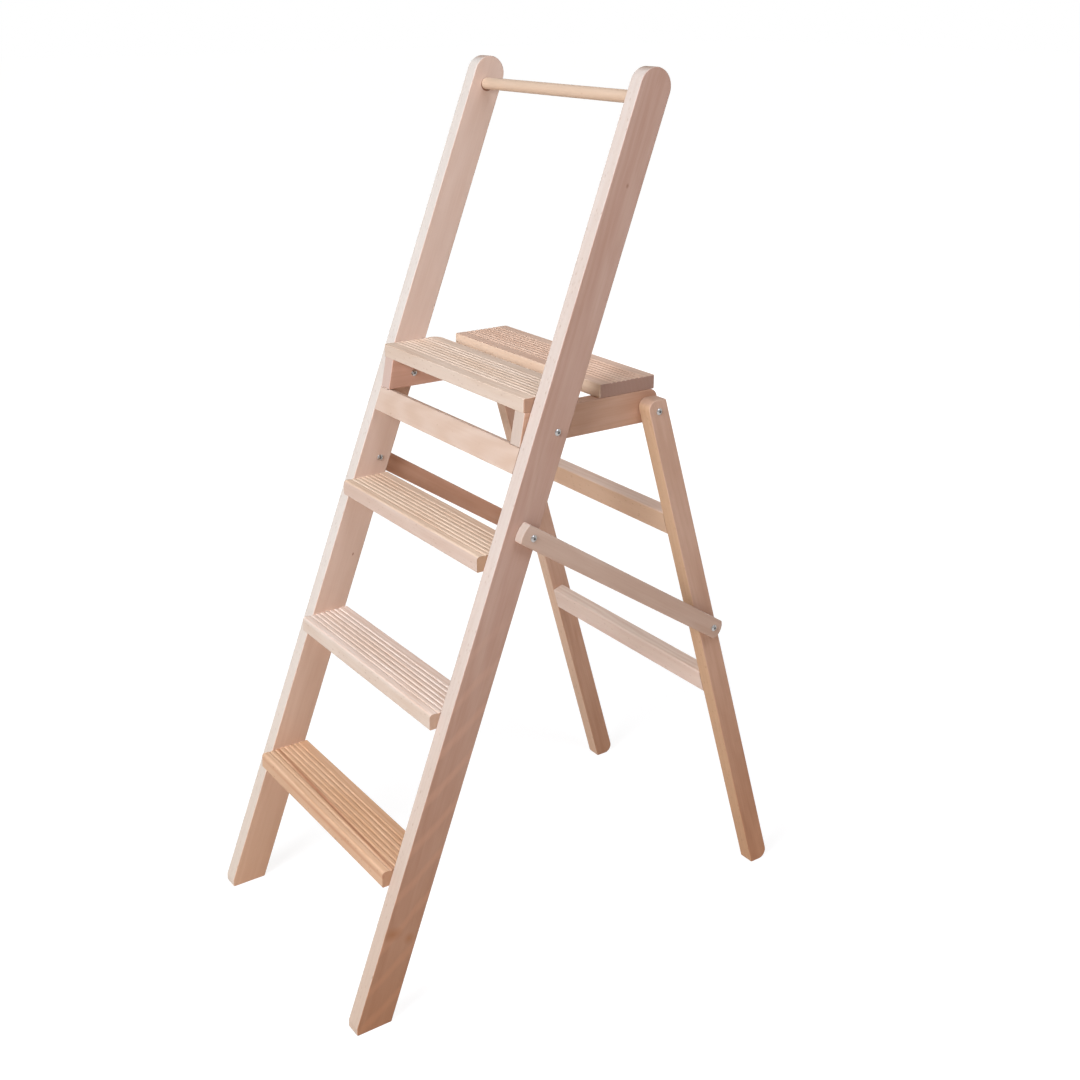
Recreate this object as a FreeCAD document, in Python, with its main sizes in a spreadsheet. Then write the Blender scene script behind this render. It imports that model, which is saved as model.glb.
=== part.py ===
import FreeCAD, Part
import math
import os
import re
import Sketcher

# Folding wooden step ladder with three treads, a two-board platform and a hand rod.
# Millimetres. +Z is up, +Y points to the rear, X runs across the ladder and X = 0 is its middle.
# The origin lies on the floor, halfway between the foremost and the rearmost point of the feet.

doc = FreeCAD.newDocument("StepLadder")

# ---------------------------------------------------------------- driving dimensions

SIZES = {
    # front frame: two leaning stiles
    "lean_angle": 20,            # degrees from upright
    "inner_width": 400,          # between the stiles
    "stile_width": 58.6,
    "stile_thickness": 25.5,
    "stile_length": 1441,        # floor to the centre of the rounded top
    "toe_trim": 13,              # the toe is cut upright from here on the front edge
    "toe_radius": 3,
    "heel_radius": 2,
    "edge_easing": 1.6,          # rounding of the long edges
    # treads
    "step_count": 3,
    "first_step_height": 228,    # top of the lowest tread
    "step_spacing": 225,
    "step_depth": 85,
    "step_thickness": 24,
    "step_nosing": 19,           # ahead of the stiles
    "nose_radius": 5,
    # grooves milled in the treads and in the platform boards
    "groove_pitch": 8.85,
    "groove_width": 5,
    "groove_depth": 1.1,
    "step_groove_count": 7,
    "step_groove_start": 14.5,   # front edge to the first groove
    "board_groove_count": 8,
    "board_groove_start": 22,
    # platform
    "board_depth": 106.8,
    "board_thickness": 22,
    "board_nosing": 20.3,        # front board ahead of the stiles
    "board_gap": 35,
    "board_side_gap": 0.6,       # running gap to each stile
    "board_corner_radius": 16,   # rear corners of the front board
    "board_small_radius": 3,     # the other corners
    "arm_thickness": 25,
    "arm_height": 51.3,
    "arm_top_radius": 15,        # rear corners
    "arm_bottom_radius": 26,
    "arm_front_angle": 9.8,      # degrees from upright
    "arm_pivot_drop": 28.8,        # pivot line below the arm's top edge
    "arm_pivot_spacing": 193.3,
    "arm_rear_overhang": 17.75,  # beyond the rear pivot
    # pivots on the stiles and legs
    "stile_pivot_inset": 39,     # behind the stile's front edge
    "brace_pivot_drop": 156,     # down the stile from the arm's pivot
    "leg_pivot_drop": 394.4,     # down the leg from the arm's pivot
    # rear frame
    "leg_angle": 17,
    "leg_width": 36.2,
    "leg_thickness": 25.5,
    "leg_head_rise": 18.5,       # flat top above the pivot
    "leg_round_radius": 14,
    "leg_corner_radius": 3,
    "rear_rail_height": 40,
    "rear_rail_thickness": 22.5,
    "rear_rail_easing": 3.2,
    "upper_rail_level": 704,     # along the leg, to the rail's top
    "lower_rail_level": 394.5,
    # rail under the platform's front edge
    "front_rail_height": 40.3,
    "front_rail_thickness": 20,
    "front_rail_easing": 0.8,
    "rail_seat_depth": 1.4,
    "rest_clearance": 0.3,
    # braces
    "brace_width": 31.2,
    "brace_thickness": 16,
    "brace_gap": 0.4,            # to the stile and the leg
    "brace_front_overhang": 20.5,
    "brace_rear_overhang": 17.5,
    "brace_front_radius": 45,
    "brace_rear_radius": 22,
    "brace_corner_radius": 3,
    # hand rod
    "rod_diameter": 20,
    "rod_drop": 17.7,            # below the centre of the stiles' rounded tops
    "rod_socket_depth": 14,
    "rod_end_gap": 0.5,
    # pivot pins: a sleeve with a domed head, closed by a screw with the same head
    "sleeve_diameter": 8,
    "screw_diameter": 5,
    "screw_reach": 12,           # length of screw inside its sleeve
    "sleeve_setback": 5,         # sleeve's end below the screw's head
    "running_clearance": 0.05,
    "head_diameter": 10.8,
    "head_height": 2.9,
    "head_rim": 0.8,
    "head_gap": 0.1,             # between a head and the face that turns under it
    "socket_width": 4,           # across the flats
    "socket_depth": 2.2,
    # glued dowels, hidden in blind holes
    "step_dowel_diameter": 10,
    "step_dowel_length": 28,
    "step_dowel_spacing": 30,
    "rail_dowel_diameter": 8,
    "rail_dowel_length": 26,
    "rail_dowel_spacing": 20,
    "board_dowel_diameter": 8,
    "board_dowel_length": 26,
    "board_dowel_spacing": 60,
    "glue_gap": 0.05,
    "dowel_end_gap": 0.5,
}

sizes = doc.addObject("Spreadsheet::Sheet", "Sizes")
for row, (alias, number) in enumerate(SIZES.items(), start=1):
    sizes.set(f"A{row}", alias.replace("_", " "))
    sizes.set(f"B{row}", str(number))
    sizes.setAlias(f"B{row}", alias)
doc.recompute()

# ---------------------------------------------------------------- worked-out layout

# Side view places, measured from the front corner of the stile's foot on the floor:
# y to the rear, z up. Each one is bound to the sheet.
LAYOUT = {
    "platform_top": "first_step_height + step_spacing * step_count",
    "arm_top": "platform_top - board_thickness",
    "arm_bottom": "arm_top - arm_height",
    # arm pivot on the stile
    "pivot_z": "arm_top - arm_pivot_drop",
    "arm_pivot_y": "pivot_z * tan(lean_angle) + stile_pivot_inset / cos(lean_angle)",
    "arm_pivot_level": "(pivot_z + stile_pivot_inset * sin(lean_angle)) / cos(lean_angle)",
    # arm pivot on the leg
    "leg_pivot_y": "arm_pivot_y + arm_pivot_spacing",
    "foot_y": "leg_pivot_y + pivot_z * tan(leg_angle) - leg_width / 2 / cos(leg_angle)",
    "leg_pivot_level": "pivot_z / cos(leg_angle) - leg_width / 2 * tan(leg_angle)",
    "brace_end_level": "leg_pivot_level - leg_pivot_drop",
    # brace pivot on the stile and on the leg
    "brace_pivot_level": "arm_pivot_level - brace_pivot_drop",
    "brace_pivot_y": "arm_pivot_y - brace_pivot_drop * sin(lean_angle)",
    "brace_pivot_z": "pivot_z - brace_pivot_drop * cos(lean_angle)",
    "brace_end_y": "leg_pivot_y + leg_pivot_drop * sin(leg_angle)",
    "brace_end_z": "pivot_z - leg_pivot_drop * cos(leg_angle)",
    "brace_length": "hypot(brace_end_y - brace_pivot_y; brace_end_z - brace_pivot_z)",
    # platform boards
    "front_board_y": "platform_top * tan(lean_angle) - board_nosing",
    "rear_board_y": "front_board_y + board_depth + board_gap",
    # rail under the platform, along the stile
    "front_rail_level": "(arm_bottom - rest_clearance + rail_seat_depth) / cos(lean_angle)",
    # layers across the ladder
    "half_width": "inner_width / 2",
    "arm_outer": "half_width - board_side_gap",
    "arm_inner": "arm_outer - arm_thickness",
    "stile_outer": "half_width + stile_thickness",
    "leg_outer": "half_width + leg_thickness",
    "brace_inner": "max(stile_outer; leg_outer) + brace_gap",
    # foremost and rearmost places of the feet; the rounded heel falls short of its sharp corner
    "toe_y": "toe_trim * sin(lean_angle)",
    "heel_y": "foot_y + leg_width / cos(leg_angle)"
              " - leg_round_radius * ((1 + sin(leg_angle)) / cos(leg_angle) - 1)",
    "origin_y": "(toe_y + heel_y) / 2",
    # fastener bores and the groove's cutter
    "pin_bore": "sleeve_diameter + 2 * running_clearance",
    "cutter_radius": "(groove_width ^ 2 / 4 + groove_depth ^ 2) / (2 * groove_depth)",
}

WORD = re.compile(r"[a-z]\w*")


def linked(text):
    # plain size names become references to the sheet and to the layout
    def owner(match):
        word = match.group(0)
        if word in SIZES:
            return "Sizes." + word
        if word in LAYOUT or word == "brace_slope":
            return "Layout." + word
        return word
    return WORD.sub(owner, text)


layout = doc.addObject("App::VarSet", "Layout")
for name, formula in LAYOUT.items():
    layout.addProperty("App::PropertyFloat", name)
for name, formula in LAYOUT.items():
    layout.setExpression(name, linked(formula))
layout.addProperty("App::PropertyAngle", "brace_slope")
layout.setExpression("brace_slope",
                     linked("atan2(brace_end_z - brace_pivot_z; brace_end_y - brace_pivot_y)"))
doc.recompute()

# ---------------------------------------------------------------- modelling helpers


def value(text):
    result = sizes.evalExpression(linked(text))
    return getattr(result, "Value", result)


def bind(thing, **expressions):
    for name, text in expressions.items():
        thing.setExpression(name.replace("__", "."), linked(text))


def place(thing, x="0", y="0", z="0", angle=None):
    # y and z are layout places; the angle turns about the X axis
    if angle is not None:
        thing.Placement = FreeCAD.Placement(FreeCAD.Vector(), FreeCAD.Rotation(FreeCAD.Vector(1, 0, 0), 1))
        bind(thing, Placement__Rotation__Angle=angle)
    bind(thing, Placement__Base__x=x, Placement__Base__y=f"({y}) - origin_y", Placement__Base__z=z)


def new_body(name):
    body = doc.addObject("PartDesign::Body", name)
    body.Label = name
    return body


def datum(body, role):
    return next(item for item in body.Origin.OriginFeatures if item.Role == role)


def new_sketch(body, plane, lift=None):
    sketch = body.newObject("Sketcher::SketchObject", body.Name + "_sketch")
    sketch.AttachmentSupport = (datum(body, plane), [""])
    sketch.MapMode = "FlatFace"
    if lift is not None:
        bind(sketch, AttachmentOffset__Base__z=lift)
    return sketch


def pin_point(sketch, geometry, point, across, up):
    for kind, text in (("DistanceX", across), ("DistanceY", up)):
        index = sketch.addConstraint(Sketcher.Constraint(kind, -1, 1, geometry, point, value(text)))
        sketch.setExpression(f"Constraints[{index}]", linked(text))


def draw_outline(sketch, corners):
    # closed outline, anticlockwise; a corner is (across, up) or (across, up, radius),
    # where the radius bows the side from this corner to the next one outwards
    points = [(value(corner[0]), value(corner[1])) for corner in corners]
    first = sketch.GeometryCount
    for index, corner in enumerate(corners):
        start = FreeCAD.Vector(*points[index], 0)
        finish = FreeCAD.Vector(*points[(index + 1) % len(corners)], 0)
        if len(corner) == 2:
            sketch.addGeometry(Part.LineSegment(start, finish), False)
            continue
        radius = value(corner[2])
        chord = finish - start
        inward = FreeCAD.Vector(-chord.y, chord.x, 0).normalize()
        centre = (start + finish) * 0.5 + inward * math.sqrt(radius ** 2 - chord.Length ** 2 / 4)
        angles = [math.atan2(end.y - centre.y, end.x - centre.x) for end in (start, finish)]
        circle = Part.Circle(centre, FreeCAD.Vector(0, 0, 1), radius)
        sketch.addGeometry(Part.ArcOfCircle(circle, *angles), False)
    for index, corner in enumerate(corners):
        following = (index + 1) % len(corners)
        sketch.addConstraint(Sketcher.Constraint("Coincident", first + index, 2, first + following, 1))
        pin_point(sketch, first + index, 1, corner[0], corner[1])
        if len(corner) == 3:
            row = sketch.addConstraint(Sketcher.Constraint("Radius", first + index, value(corner[2])))
            sketch.setExpression(f"Constraints[{row}]", linked(corner[2]))


def draw_circle(sketch, across, up, diameter):
    index = sketch.GeometryCount
    centre = FreeCAD.Vector(value(across), value(up), 0)
    sketch.addGeometry(Part.Circle(centre, FreeCAD.Vector(0, 0, 1), value(diameter) / 2), False)
    pin_point(sketch, index, 3, across, up)
    row = sketch.addConstraint(Sketcher.Constraint("Diameter", index, value(diameter)))
    sketch.setExpression(f"Constraints[{row}]", linked(diameter))


def pad(body, sketch, length, symmetric=False):
    feature = body.newObject("PartDesign::Pad", body.Name + "_pad")
    feature.Profile = sketch
    feature.SideType = "Symmetric" if symmetric else "One side"
    bind(feature, Length=length)
    doc.recompute()
    return feature


def pocket(body, sketch, depth=None, along=False):
    # without a depth it cuts through to both sides; along means along the sketch's normal
    before = body.Shape.Volume
    feature = body.newObject("PartDesign::Pocket", body.Name + "_pocket")
    feature.Profile = sketch
    feature.Reversed = along
    if depth is None:
        feature.SideType = "Symmetric"
        feature.Type = "ThroughAll"
    else:
        bind(feature, Length=depth)
    doc.recompute()
    if body.Shape.Volume >= before:
        raise RuntimeError(body.Label + ": a pocket removes nothing")
    return feature


def round_edges(body, radius, wanted):
    # rounds every edge of the body's tip for which wanted(edge) is true
    tip = body.Tip
    names = [f"Edge{number}" for number, edge in enumerate(tip.Shape.Edges, start=1) if wanted(edge)]
    if not names:
        raise RuntimeError(body.Label + ": no edge to round")
    feature = body.newObject("PartDesign::Fillet", body.Name + "_rounding")
    feature.Base = (tip, names)
    bind(feature, Radius=radius)
    doc.recompute()
    return feature


def runs_along(edge, axis):
    if not isinstance(edge.Curve, Part.Line):
        return False
    return abs(edge.tangentAt(edge.FirstParameter).dot(axis)) > 0.999


ALONG_X = FreeCAD.Vector(1, 0, 0)
ALONG_Z = FreeCAD.Vector(0, 0, 1)


def crossing_edges(*places):
    # picks the edges that run along X through the given places of the side view
    targets = [FreeCAD.Vector(0, value(across), value(up)) for across, up in places]

    def wanted(edge):
        middle = FreeCAD.Vector(0, edge.CenterOfMass.y, edge.CenterOfMass.z)
        near = any(middle.distanceToPoint(target) < 0.01 for target in targets)
        return near and runs_along(edge, ALONG_X)
    return wanted


def upright_edges(depth):
    # picks the upright edges at the given distance behind the front edge
    place = value(depth)
    return lambda edge: runs_along(edge, ALONG_Z) and abs(edge.CenterOfMass.y - place) < 0.01


def rim_edges(*levels):
    # picks the edges that lie in the planes X = level
    places = [value(level) for level in levels]

    def wanted(edge):
        box = edge.BoundBox
        return box.XLength < 1e-6 and any(abs(box.XMin - place) < 1e-6 for place in places)
    return wanted


def dowel(name, diameter, length, x, y, z, upright=False):
    peg = doc.addObject("Part::Cylinder", name)
    axis = ALONG_Z if upright else FreeCAD.Vector(0, 1, 0)
    peg.Placement = FreeCAD.Placement(FreeCAD.Vector(), FreeCAD.Rotation(axis, 0 if upright else 90))
    bind(peg, Radius=f"{diameter} / 2", Height=length)
    shift_x, shift_z = ("0", f"{length} / 2") if upright else (f"{length} / 2", "0")
    bind(peg, Placement__Base__x=f"({x}) - {shift_x}", Placement__Base__y=f"({y}) - origin_y",
         Placement__Base__z=f"({z}) - {shift_z}")
    return peg


def mirrored(source, name):
    twin = doc.addObject("Part::Mirroring", name)
    twin.Source = source
    twin.Normal = ALONG_X
    twin.Label = name
    return twin


def grouped(name, members):
    group = doc.addObject("Part::Compound", name)
    group.Links = members
    group.Label = name
    return group


pieces = []

# ---------------------------------------------------------------- side view conversions


def on_stile(y, z):
    # a place of the side view as (behind the stile's front edge, along the stile)
    return (f"({y}) * cos(lean_angle) - ({z}) * sin(lean_angle)",
            f"({y}) * sin(lean_angle) + ({z}) * cos(lean_angle)")


def step_numbers():
    return range(round(value("step_count")))


def step_level(number):
    return f"first_step_height + step_spacing * {number}"


def step_dowel_places():
    # two dowels a side for each tread, level with the middle of its thickness
    for number in step_numbers():
        z = f"({step_level(number)} - step_thickness / 2)"
        for side in (-1, 1):
            y = f"({z} * tan(lean_angle) + stile_width / 2 / cos(lean_angle) + step_dowel_spacing / 2 * {side})"
            yield y, z


# ---------------------------------------------------------------- front frame


def make_stile():
    stile = new_body("stile_right")
    place(stile, x="half_width", angle="-lean_angle")
    side = new_sketch(stile, "YZ_Plane")
    toe = on_stile("toe_y", "0")
    draw_outline(side, [
        toe,
        ("stile_width", "stile_width * tan(lean_angle)"),
        ("stile_width", "stile_length"),
        ("0", "stile_length"),
        ("0", "toe_trim"),
    ])
    pad(stile, side, "stile_thickness")
    head = new_sketch(stile, "YZ_Plane")
    draw_circle(head, "stile_width / 2", "stile_length", "stile_width")
    pad(stile, head, "stile_thickness")
    round_edges(stile, "toe_radius", crossing_edges(toe, ("0", "toe_trim")))
    round_edges(stile, "heel_radius", crossing_edges(("stile_width", "stile_width * tan(lean_angle)")))
    round_edges(stile, "edge_easing", rim_edges("0", "stile_thickness"))

    bores = new_sketch(stile, "YZ_Plane")
    draw_circle(bores, "stile_pivot_inset", "arm_pivot_level", "pin_bore")
    draw_circle(bores, "stile_pivot_inset", "brace_pivot_level", "pin_bore")
    pocket(stile, bores, "stile_thickness", along=True)

    rod_socket = new_sketch(stile, "YZ_Plane")
    draw_circle(rod_socket, "stile_width / 2", "stile_length - rod_drop", "rod_diameter + 2 * glue_gap")
    pocket(stile, rod_socket, "rod_socket_depth", along=True)

    dowel_holes = new_sketch(stile, "YZ_Plane")
    for y, z in step_dowel_places():
        draw_circle(dowel_holes, *on_stile(y, z), "step_dowel_diameter + 2 * glue_gap")
    pocket(stile, dowel_holes, "step_dowel_length / 2 + dowel_end_gap", along=True)

    rail_holes = new_sketch(stile, "YZ_Plane")
    for level in front_rail_dowel_levels():
        draw_circle(rail_holes, "front_rail_thickness / 2", level, "rail_dowel_diameter + 2 * glue_gap")
    pocket(stile, rail_holes, "rail_dowel_length / 2 + dowel_end_gap", along=True)

    pieces.append(stile)
    pieces.append(mirrored(stile, "stile_left"))


def add_grooves(body, start, count):
    cutter = new_sketch(body, "YZ_Plane")
    draw_circle(cutter, start, "cutter_radius - groove_depth", "cutter_radius * 2")
    groove = pocket(body, cutter)
    row = body.newObject("PartDesign::LinearPattern", body.Name + "_grooves")
    row.Originals = [groove]
    row.Direction = (datum(body, "Y_Axis"), [""])
    row.Mode = "Spacing"
    bind(row, Offset="groove_pitch", Occurrences=count)
    body.Tip = row
    doc.recompute()


def make_step(number):
    step = new_body(f"step_{number + 1}")
    level = step_level(number)
    place(step, y=f"({level}) * tan(lean_angle) - step_nosing", z=level)
    section = new_sketch(step, "YZ_Plane")
    draw_outline(section, [
        ("0", "-step_thickness"),
        ("step_depth", "-step_thickness"),
        ("step_depth", "0"),
        ("0", "0"),
    ])
    pad(step, section, "inner_width", symmetric=True)
    round_edges(step, "nose_radius", crossing_edges(("0", "0")))
    round_edges(step, "edge_easing", crossing_edges(
        ("0", "-step_thickness"), ("step_depth", "-step_thickness"), ("step_depth", "0")))
    add_grooves(step, "step_groove_start", "step_groove_count")

    for plane_side, plane_shift in ((False, "half_width"), (True, "-half_width")):
        holes = new_sketch(step, "YZ_Plane", lift=plane_shift)
        for y, z in list(step_dowel_places())[:2]:
            behind = f"{y} - (first_step_height * tan(lean_angle) - step_nosing)"
            draw_circle(holes, behind, "-step_thickness / 2", "step_dowel_diameter + 2 * glue_gap")
        pocket(step, holes, "step_dowel_length / 2 + dowel_end_gap", along=plane_side)
    pieces.append(step)


def make_step_dowels():
    pegs = []
    for y, z in step_dowel_places():
        for side in (-1, 1):
            pegs.append(dowel("step_dowel", "step_dowel_diameter", "step_dowel_length",
                              f"half_width * {side}", y, z))
    pieces.append(grouped("step_dowels", pegs))


def front_rail_dowel_levels():
    middle = "front_rail_level - front_rail_height / 2"
    return [f"{middle} + rail_dowel_spacing / 2 * {side}" for side in (-1, 1)]


def make_front_rail():
    rail = new_body("front_cross_rail")
    place(rail, angle="-lean_angle")
    section = new_sketch(rail, "YZ_Plane")
    draw_outline(section, [
        ("0", "front_rail_level - front_rail_height"),
        ("front_rail_thickness", "front_rail_level - front_rail_height"),
        ("front_rail_thickness", "front_rail_level"),
        ("0", "front_rail_level"),
    ])
    pad(rail, section, "inner_width", symmetric=True)
    round_edges(rail, "front_rail_easing", lambda edge: runs_along(edge, ALONG_X))

    # level seats for the arms, cut in the rail's top at both ends
    seat_z = "(arm_bottom - rest_clearance)"
    front_y = f"({seat_z} * tan(lean_angle) - front_rail_thickness)"
    rear_y = f"({seat_z} * tan(lean_angle) + front_rail_thickness * 2)"
    top_z = f"({seat_z} + front_rail_height)"
    places = [(front_y, seat_z), (rear_y, seat_z), (rear_y, top_z), (front_y, top_z)]
    for plane_side, plane_shift in ((False, "half_width"), (True, "-half_width")):
        seat = new_sketch(rail, "YZ_Plane", lift=plane_shift)
        draw_outline(seat, [on_stile(y, z) for y, z in places])
        pocket(rail, seat, "half_width - arm_inner + board_side_gap", along=plane_side)
        holes = new_sketch(rail, "YZ_Plane", lift=plane_shift)
        for level in front_rail_dowel_levels():
            draw_circle(holes, "front_rail_thickness / 2", level, "rail_dowel_diameter + 2 * glue_gap")
        pocket(rail, holes, "rail_dowel_length / 2 + dowel_end_gap", along=plane_side)
    pieces.append(rail)

    pegs = []
    for level in front_rail_dowel_levels():
        y = f"(({level}) * sin(lean_angle) + front_rail_thickness / 2 * cos(lean_angle))"
        z = f"(({level}) * cos(lean_angle) - front_rail_thickness / 2 * sin(lean_angle))"
        for side in (-1, 1):
            pegs.append(dowel("front_rail_dowel", "rail_dowel_diameter", "rail_dowel_length",
                              f"half_width * {side}", y, z))
    pieces.append(grouped("front_rail_dowels", pegs))


def make_hand_rod():
    rod = new_body("hand_rod")
    place(rod, angle="-lean_angle")
    section = new_sketch(rod, "YZ_Plane")
    draw_circle(section, "stile_width / 2", "stile_length - rod_drop", "rod_diameter")
    pad(rod, section, "inner_width + 2 * (rod_socket_depth - rod_end_gap)", symmetric=True)
    pieces.append(rod)


# ---------------------------------------------------------------- platform


def make_arm():
    arm = new_body("arm_right")
    place(arm, x="arm_inner", y="0", z="0")
    front_y = "arm_bottom * tan(lean_angle)"
    rear_y = "(leg_pivot_y + arm_rear_overhang)"
    side = new_sketch(arm, "YZ_Plane")
    draw_outline(side, [
        (front_y, "arm_bottom"),
        (rear_y, "arm_bottom"),
        (rear_y, "arm_top"),
        (f"{front_y} + arm_height * tan(arm_front_angle)", "arm_top"),
    ])
    pad(arm, side, "arm_thickness")
    round_edges(arm, "arm_top_radius", crossing_edges((rear_y, "arm_top")))
    round_edges(arm, "arm_bottom_radius", crossing_edges((rear_y, "arm_bottom")))
    round_edges(arm, "edge_easing", crossing_edges((front_y, "arm_bottom")))
    round_edges(arm, "edge_easing", rim_edges("0", "arm_thickness"))

    bores = new_sketch(arm, "YZ_Plane")
    draw_circle(bores, "arm_pivot_y", "pivot_z", "pin_bore")
    draw_circle(bores, "leg_pivot_y", "pivot_z", "pin_bore")
    pocket(arm, bores, "arm_thickness", along=True)

    holes = new_sketch(arm, "XY_Plane", lift="arm_top")
    for y in board_dowel_places():
        draw_circle(holes, "arm_thickness / 2", y, "board_dowel_diameter + 2 * glue_gap")
    pocket(arm, holes, "board_dowel_length / 2 + dowel_end_gap")
    pieces.append(arm)
    pieces.append(mirrored(arm, "arm_left"))


def board_dowel_places():
    for start in ("front_board_y", "rear_board_y"):
        for side in (-1, 1):
            yield f"{start} + board_depth / 2 + board_dowel_spacing / 2 * {side}"


def make_board(name, start, rear_radius):
    board = new_body(name)
    place(board, y=start, z="platform_top")
    section = new_sketch(board, "YZ_Plane")
    draw_outline(section, [
        ("0", "-board_thickness"),
        ("board_depth", "-board_thickness"),
        ("board_depth", "0"),
        ("0", "0"),
    ])
    pad(board, section, "arm_outer * 2", symmetric=True)
    round_edges(board, rear_radius, upright_edges("board_depth"))
    round_edges(board, "board_small_radius", upright_edges("0"))
    round_edges(board, "edge_easing", lambda edge: edge.BoundBox.ZLength < 1e-6)
    add_grooves(board, "board_groove_start", "board_groove_count")

    holes = new_sketch(board, "XY_Plane", lift="-board_thickness")
    for side in (-1, 1):
        for end in (-1, 1):
            draw_circle(holes, f"(arm_outer + arm_inner) / 2 * {side}",
                        f"board_depth / 2 + board_dowel_spacing / 2 * {end}",
                        "board_dowel_diameter + 2 * glue_gap")
    pocket(board, holes, "board_dowel_length / 2 + dowel_end_gap", along=True)
    pieces.append(board)


def make_board_dowels():
    pegs = []
    for y in board_dowel_places():
        for side in (-1, 1):
            pegs.append(dowel("board_dowel", "board_dowel_diameter", "board_dowel_length",
                              f"(arm_outer + arm_inner) / 2 * {side}", y, "arm_top", upright=True))
    pieces.append(grouped("board_dowels", pegs))


# ---------------------------------------------------------------- rear frame

RAIL_LEVELS = {"upper": "upper_rail_level", "lower": "lower_rail_level"}


def rear_rail_dowel_levels(level):
    return [f"{level} - rear_rail_height / 2 + rail_dowel_spacing / 2 * {side}" for side in (-1, 1)]


def make_leg():
    leg = new_body("leg_right")
    place(leg, x="half_width", y="foot_y", angle="leg_angle")
    top_z = "(pivot_z + leg_head_rise)"
    front_top = f"{top_z} / cos(leg_angle)"
    rear_top = f"({top_z} - leg_width * sin(leg_angle)) / cos(leg_angle)"
    rear_foot = "-leg_width * tan(leg_angle)"
    side = new_sketch(leg, "YZ_Plane")
    draw_outline(side, [
        ("0", "0"),
        ("leg_width", rear_foot),
        ("leg_width", rear_top),
        ("0", front_top),
    ])
    pad(leg, side, "leg_thickness")
    round_edges(leg, "leg_round_radius", crossing_edges(("0", front_top)))
    round_edges(leg, "leg_round_radius", crossing_edges(("leg_width", rear_foot)))
    round_edges(leg, "leg_corner_radius", crossing_edges(("0", "0")))
    round_edges(leg, "leg_corner_radius", crossing_edges(("leg_width", rear_top)))
    round_edges(leg, "edge_easing", rim_edges("0", "leg_thickness"))

    bores = new_sketch(leg, "YZ_Plane")
    draw_circle(bores, "leg_width / 2", "leg_pivot_level", "pin_bore")
    draw_circle(bores, "leg_width / 2", "brace_end_level", "pin_bore")
    pocket(leg, bores, "leg_thickness", along=True)

    holes = new_sketch(leg, "YZ_Plane")
    for rail_level in RAIL_LEVELS.values():
        for level in rear_rail_dowel_levels(rail_level):
            draw_circle(holes, "rear_rail_thickness / 2", level, "rail_dowel_diameter + 2 * glue_gap")
    pocket(leg, holes, "rail_dowel_length / 2 + dowel_end_gap", along=True)
    pieces.append(leg)
    pieces.append(mirrored(leg, "leg_left"))


def make_rear_rail(name, rail_level):
    rail = new_body(name)
    place(rail, y="foot_y", angle="leg_angle")
    section = new_sketch(rail, "YZ_Plane")
    draw_outline(section, [
        ("0", f"{rail_level} - rear_rail_height"),
        ("rear_rail_thickness", f"{rail_level} - rear_rail_height"),
        ("rear_rail_thickness", rail_level),
        ("0", rail_level),
    ])
    pad(rail, section, "inner_width", symmetric=True)
    round_edges(rail, "rear_rail_easing", lambda edge: runs_along(edge, ALONG_X))
    for plane_side, plane_shift in ((False, "half_width"), (True, "-half_width")):
        holes = new_sketch(rail, "YZ_Plane", lift=plane_shift)
        for level in rear_rail_dowel_levels(rail_level):
            draw_circle(holes, "rear_rail_thickness / 2", level, "rail_dowel_diameter + 2 * glue_gap")
        pocket(rail, holes, "rail_dowel_length / 2 + dowel_end_gap", along=plane_side)
    pieces.append(rail)


def make_rear_rail_dowels():
    pegs = []
    for rail_level in RAIL_LEVELS.values():
        for level in rear_rail_dowel_levels(rail_level):
            y = f"(foot_y - ({level}) * sin(leg_angle) + rear_rail_thickness / 2 * cos(leg_angle))"
            z = f"(({level}) * cos(leg_angle) + rear_rail_thickness / 2 * sin(leg_angle))"
            for side in (-1, 1):
                pegs.append(dowel("rear_rail_dowel", "rail_dowel_diameter", "rail_dowel_length",
                                  f"half_width * {side}", y, z))
    pieces.append(grouped("rear_rail_dowels", pegs))


# ---------------------------------------------------------------- braces


def make_brace():
    brace = new_body("brace_right")
    place(brace, x="brace_inner", y="brace_pivot_y", z="brace_pivot_z", angle="brace_slope")
    half = "brace_width / 2"
    # each end bows outwards; its corners lie this far short of the middle of the end
    front_sag = f"(brace_front_radius - sqrt(brace_front_radius ^ 2 - ({half}) ^ 2))"
    rear_sag = f"(brace_rear_radius - sqrt(brace_rear_radius ^ 2 - ({half}) ^ 2))"
    front_end = f"{front_sag} - brace_front_overhang"
    rear_end = f"brace_length + brace_rear_overhang - {rear_sag}"
    side = new_sketch(brace, "YZ_Plane")
    draw_outline(side, [
        (front_end, f"-{half}"),
        (rear_end, f"-{half}", "brace_rear_radius"),
        (rear_end, half),
        (front_end, half, "brace_front_radius"),
    ])
    pad(brace, side, "brace_thickness")
    round_edges(brace, "brace_corner_radius", lambda edge: runs_along(edge, ALONG_X))
    round_edges(brace, "edge_easing", rim_edges("0", "brace_thickness"))
    bores = new_sketch(brace, "YZ_Plane")
    draw_circle(bores, "0", "0", "pin_bore")
    draw_circle(bores, "brace_length", "0", "pin_bore")
    pocket(brace, bores, "brace_thickness", along=True)
    pieces.append(brace)
    pieces.append(mirrored(brace, "brace_left"))


# ---------------------------------------------------------------- pivot pins


def dome_radius():
    # the dome rises from the rim's edge to the full height of the head
    rise = "(head_height - head_rim)"
    return f"(head_diameter ^ 2 / 4 + {rise} ^ 2) / (2 * {rise})"


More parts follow.
